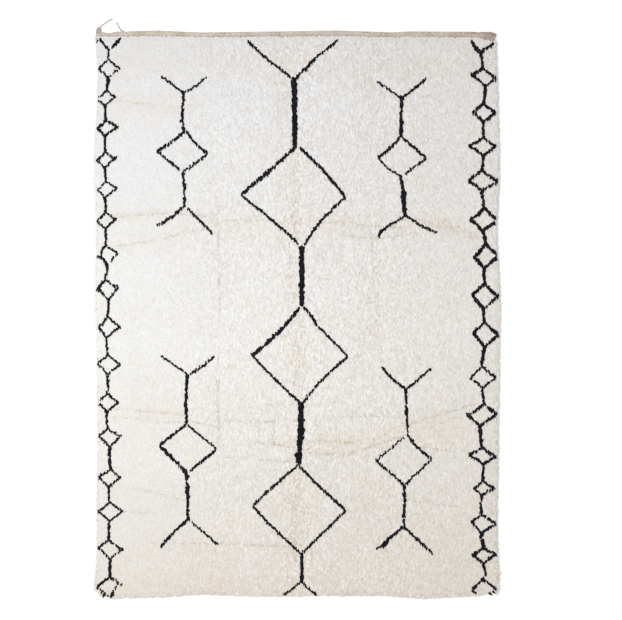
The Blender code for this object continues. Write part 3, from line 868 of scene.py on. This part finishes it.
def close_below(bm, height):
    """Drop the rim of an open surface to a height and close it with one flat face."""
    rim = [edge for edge in bm.edges if edge.is_boundary]
    made = bmesh.ops.extrude_edge_only(bm, edges=rim)["geom"]
    for item in made:
        if isinstance(item, bmesh.types.BMVert):
            item.co.z = height
    bmesh.ops.contextual_create(bm, geom=[edge for edge in bm.edges if edge.is_boundary])


def grid_surface(columns, rows, place):
    """An open surface of quads, each point put where place(across, along) says."""
    bm = bmesh.new()
    bmesh.ops.create_grid(bm, x_segments=columns, y_segments=rows, size=1)
    shares = np.array([((vertex.co.x + 1) / 2, (vertex.co.y + 1) / 2) for vertex in bm.verts])
    for vertex, spot in zip(bm.verts, place(*shares.T)):
        vertex.co = spot
    return bm


def make_ground():
    """The woven ground as one thin sheet with the frame's own outline."""
    def place(across, along):
        y = spread(bottom_of(0), top_of(0), along)
        x = spread(left_of(y), right_of(y), across)
        y = spread(bottom_of(x), top_of(x), along)
        ripple = smooth_noise(x, y, rate=20, seed=2)
        return np.column_stack([x, y, GROUND_TOP + GROUND_RIPPLE * ripple])

    bm = grid_surface(*GROUND_CELLS, place)
    close_below(bm, 0)
    return finish_mesh("ground", bm, ground_weave())


def make_body(material):
    """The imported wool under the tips, which follows the frame's own lumps."""
    def place(across, along):
        y = spread(bottom_of(0), top_of(0), along)
        x = spread(left_of(y) + BODY_INSET, right_of(y) - BODY_INSET, across)
        y = spread(bottom_of(x) + BODY_INSET, top_of(x) - 0.5 * MM, along)
        return np.column_stack([x, y, pile_tops(x, y) - fold_field(x, y)[0] - BODY_DEPTH])

    columns = round((right_of(0) - left_of(0)) / BODY_CELL)
    rows = round((top_of(0) - bottom_of(0)) / BODY_CELL)
    bm = grid_surface(columns, rows, place)
    close_below(bm, GROUND_TOP - 1 * MM)
    tone = bm.verts.layers.float.new("tone")
    tint = bm.verts.layers.float.new("tint")
    x, y = np.array([vertex.co.xy for vertex in bm.verts]).T
    tones = spread(*BODY_TONES, smooth_noise(x, y * 0.5, rate=70, seed=6))
    for vertex, own_tone, own_tint in zip(bm.verts, tones, wool_tint(x, y)):
        vertex[tone] = own_tone
        vertex[tint] = own_tint
    return finish_mesh("packed_wool", bm, material)


def heading_row(x):
    """The heading's outer edge and thickness at places across the rug."""
    places, outer, thickness = np.array(HEADING_ROWS).T
    places, outer = chart(places, outer)
    return np.interp(x, places, outer), np.interp(x, places, thickness * MM)


def weave_height(x, y):
    """Weft floats over and under the warps, one row shifted against the next."""
    row = np.floor(y / WEFT_PITCH)
    over = np.cos(2 * math.pi * x / WARP_PITCH + math.pi * (row % 2))
    rib = np.abs(np.sin(math.pi * y / WEFT_PITCH))
    return WEAVE_RELIEF * rib * (0.55 + 0.45 * over)


def make_heading(material):
    """The flat-woven end: a relief of weft over warp, puckered and curled at its right end."""
    left, right = left_of(top_of(-1)) - HEADING_PAST, right_of(top_of(1))

    def place(across, along):
        x = spread(left, right, across)
        outer, thickness = heading_row(x)
        inner = top_of(x) + HEADING_GAP
        y = spread(inner, outer, along)
        curl = fade(right - x, ROLLED_END) * along ** 2
        corner = fade(right - x, ROUNDED_END) ** 2 * (2 * along - 1)
        crown = CROWN * (1 - (2 * along - 1) ** 4)
        pucker = PUCKER * smooth_noise(x + 0.6 * y, y * 0.35, rate=55, seed=5)
        height = thickness - 1 * MM + crown + pucker + ROLL_UP * curl + weave_height(x, y - inner)
        return np.column_stack([x + ROLL_OUT * curl, y - ROUNDING * corner, height])

    cell, rows = HEADING_CELL
    bm = grid_surface(round((right - left) / cell), rows, place)
    close_below(bm, 0)
    add_weave_tone(bm)
    return finish_mesh("heading_weave", bm, material)


def add_weave_tone(bm):
    """Yarn-by-yarn tone, deeper along the outer edge and on the curled right end."""
    layer = bm.verts.layers.float.new("tone")
    right = right_of(top_of(1))
    for vertex in bm.verts:
        x, y = vertex.co.x, vertex.co.y
        outer, _ = heading_row(x)
        from_end, from_edge = max(0, right - x), max(0, outer - y)
        right_half = min(1, max(0, (x + 0.1) / 1.1))
        tone = WEAVE_TONE + 0.45 * noise.noise(Vector((x * 70, y * 230, 1)))
        tone += 0.3 * noise.noise(Vector((x * 14, y * 30, 4)))
        tone += spread(*EDGE_TONES, right_half) * math.exp(-from_edge / EDGE_FADE)
        tone += ROLL_TONE * math.exp(-from_end / ROLL_FADE[0] - from_edge / ROLL_FADE[1])
        vertex[layer] = tone + WORN_TONE * max(0, 1 - (right - x) / WORN_END)


def smooth_path(points, steps=6):
    """Points on a smooth curve through the given ones."""
    path = []
    padded = [points[0], *points, points[-1]]
    for before, start, end, after in zip(padded, padded[1:], padded[2:], padded[3:]):
        square = 2 * before - 5 * start + 4 * end - after
        cube = 3 * start - before - 3 * end + after
        for t in np.arange(steps) / steps:
            path.append(0.5 * (2 * start + (end - before) * t + square * t ** 2 + cube * t ** 3))
    return path + [points[-1]]


def add_ply(bm, path, start_turn, radius):
    """One ply of a two-ply yarn, twisted about its path and a little loose at the end."""
    walked = 0
    loops = []
    for index, place in enumerate(path):
        ahead = (path[min(index + 1, len(path) - 1)] - path[max(index - 1, 0)]).normalized()
        beside = ahead.cross(Vector((0, 0, 1))).normalized()
        above = beside.cross(ahead)
        turn = 2 * math.pi * walked / YARN_TWIST + start_turn
        loose = 1 + 5 * max(0, index / (len(path) - 1) - LOOSE_FROM)
        centre = place + (beside * math.cos(turn) * loose + above * math.sin(turn)) * radius * 0.8
        loop = []
        for corner in range(YARN_SIDES):
            spin = 2 * math.pi * corner / YARN_SIDES
            loop.append(bm.verts.new(centre + (beside * math.cos(spin) + above * math.sin(spin)) * radius))
        loops.append(loop)
        if index + 1 < len(path):
            walked += (path[index + 1] - place).length
    for low, high in zip(loops, loops[1:]):
        for corner in range(YARN_SIDES):
            following = (corner + 1) % YARN_SIDES
            bm.faces.new((low[corner], low[following], high[following], high[corner]))
    bm.faces.new(reversed(loops[0]))
    bm.faces.new(loops[-1])


def make_yarns(name, lines, material):
    """Two-ply yarns along the given lines, lying on the floor, as one piece."""
    bm = bmesh.new()
    for points in lines:
        path = smooth_path([Vector((*chart(x, y), YARN_RADIUS)) for x, y in points])
        for start_turn in (0, math.pi):
            add_ply(bm, path, start_turn, YARN_RADIUS * PLY_SHARE)
    lowest = min(vertex.co.z for vertex in bm.verts)
    for vertex in bm.verts:
        vertex.co.z -= lowest
    add_weave_tone(bm)
    return finish_mesh(name, bm, material)


def tab_lines():
    """Warp ends at the heading's left corner, drawn together towards the first loose yarn."""
    lines = []
    for strand in range(TAB_STRANDS):
        share = strand / (TAB_STRANDS - 1)
        x = spread(*TAB_SIDES, share)
        top_x = spread(x, YARNS[0][0][0], TAB_GATHER)
        top_y = TAB_TOP - TAB_SLOPE * abs(share - 0.4)
        lines.append([(x, TAB_FOOT[0]), (x, TAB_FOOT[1]), ((x + top_x) / 2, TAB_NECK), (top_x, top_y)])
    return lines


# ---- stage


def make_stage():
    """A plain near-white floor, a hair below the rug."""
    bpy.ops.mesh.primitive_plane_add(size=FLOOR_SIZE, location=(0, 0, FLOOR_HEIGHT))
    floor = bpy.context.active_object
    floor.name = "floor"
    material, tree, shader = new_material("floor")
    paper = {"Base Color": (0.99, 0.99, 0.99, 1), "Roughness": 1, "Specular IOR Level": 0}
    set_inputs(tree, shader, paper)
    floor.data.materials.append(material)


def light_scene():
    """White light from all round, and a cooler one from the left."""
    world = bpy.data.worlds.new("studio")
    world.use_nodes = True
    tree = world.node_tree
    set_inputs(tree, tree.nodes["Background"], {"Color": (1, 1, 1, 1), "Strength": 0.905})
    bpy.context.scene.world = world
    light = bpy.data.lights.new("left_window", "AREA")
    light.shape = "SQUARE"
    light.size = 2.4
    light.energy = 67
    light.color = (0.82, 0.91, 1)
    lamp = add_object("left_window", light)
    lamp.location = WINDOW_PLACE
    lamp.rotation_euler = (-Vector(WINDOW_PLACE)).to_track_quat("-Z", "Y").to_euler()
    bpy.context.scene.view_settings.view_transform = "Standard"


def add_camera():
    """Straight above, with the photograph's frame round the rug."""
    camera = bpy.data.cameras.new("camera")
    camera.lens = LENS
    camera.sensor_width = SENSOR
    camera.clip_end = 100
    view = add_object("camera", camera)
    off_x = (PHOTO_WIDTH / 2 - MIDDLE_PIXEL[0]) * PIXEL_SIZE
    off_y = (MIDDLE_PIXEL[1] - PHOTO_HEIGHT / 2) * PIXEL_SIZE
    above = PHOTO_WIDTH * PIXEL_SIZE * LENS / SENSOR + PHOTO_PLANE
    view.location = (CHART_MIDDLE[0] + off_x, CHART_MIDDLE[1] + off_y, above)
    bpy.context.scene.camera = view


# ---- the rug


def make_pile():
    """All the wool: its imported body, cream tufts in bands up the rug, charted dark ones."""
    ink = ink_knots(STROKES + [stroke for rows in BORDERS for stroke in border_strokes(rows)])
    x, y = knot_places()
    shown = ~under_ink(x, y, ink)
    creases = crease_shade_tufts()
    groups = field_tufts(x[shown], y[shown]), rim_tufts(), brow_tufts(), creases
    tufts = [np.concatenate(parts) for parts in zip(*groups)]
    shown_x, shown_y = tufts[0][:, 1:, :2].mean(axis=1).T
    tones = cream_tones(shown_x, shown_y)
    tints = wool_tint(shown_x, shown_y) + scatter(TINT_CONTRAST, len(shown_x))
    # Painted shade: the crease tufts are made darker and creamier.
    for values, change in zip((tones, tints), CREASE_SHADE_MARKS):
        values[-len(creases[1]):] += change
    tones = ring_tones(tones, spread(*TIP_CONTRAST, rightward(shown_x, shown_y)))
    tints = np.repeat(tints, tones.shape[1]).reshape(tones.shape)
    order = np.argsort(shown_y)
    cream = cream_wool()
    pieces = [make_body(cream)]
    for band, members in enumerate(np.array_split(order, BANDS)):
        name = "cream_pile_%d" % (band + 1)
        marks = {"tone": tones[members], "tint": tints[members]}
        pieces.append(tuft_mesh(name, [part[members] for part in tufts], marks, cream))
    dark = ink_tufts(ink)
    marks = {"tone": ring_tones(rng.beta(*GREY_ENDS, len(dark[1])), TIP_CONTRAST[1])}
    lattice = tuft_mesh("dark_pile", dark, marks, dark_wool())
    pieces.append(lattice)
    for piece in pieces:
        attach(piece, "root")
    return pieces


def main():
    add_camera()
    light_scene()
    make_stage()
    ground = make_ground()
    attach(ground, "root")
    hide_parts("pile_field")
    width = right_of(0) - left_of(0)
    length = top_of(0) - bottom_of(0)
    make_pile()
    weave = flat_weave()
    heading = make_heading(weave)
    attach(heading, "root")
    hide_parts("heading")
    ends = [make_yarns("corner_warps", tab_lines(), weave)]
    for index, points in enumerate(YARNS):
        ends.append(make_yarns("loose_yarn_%d" % (index + 1), [points], weave))
    for end in ends:
        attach(end, "root")


main()
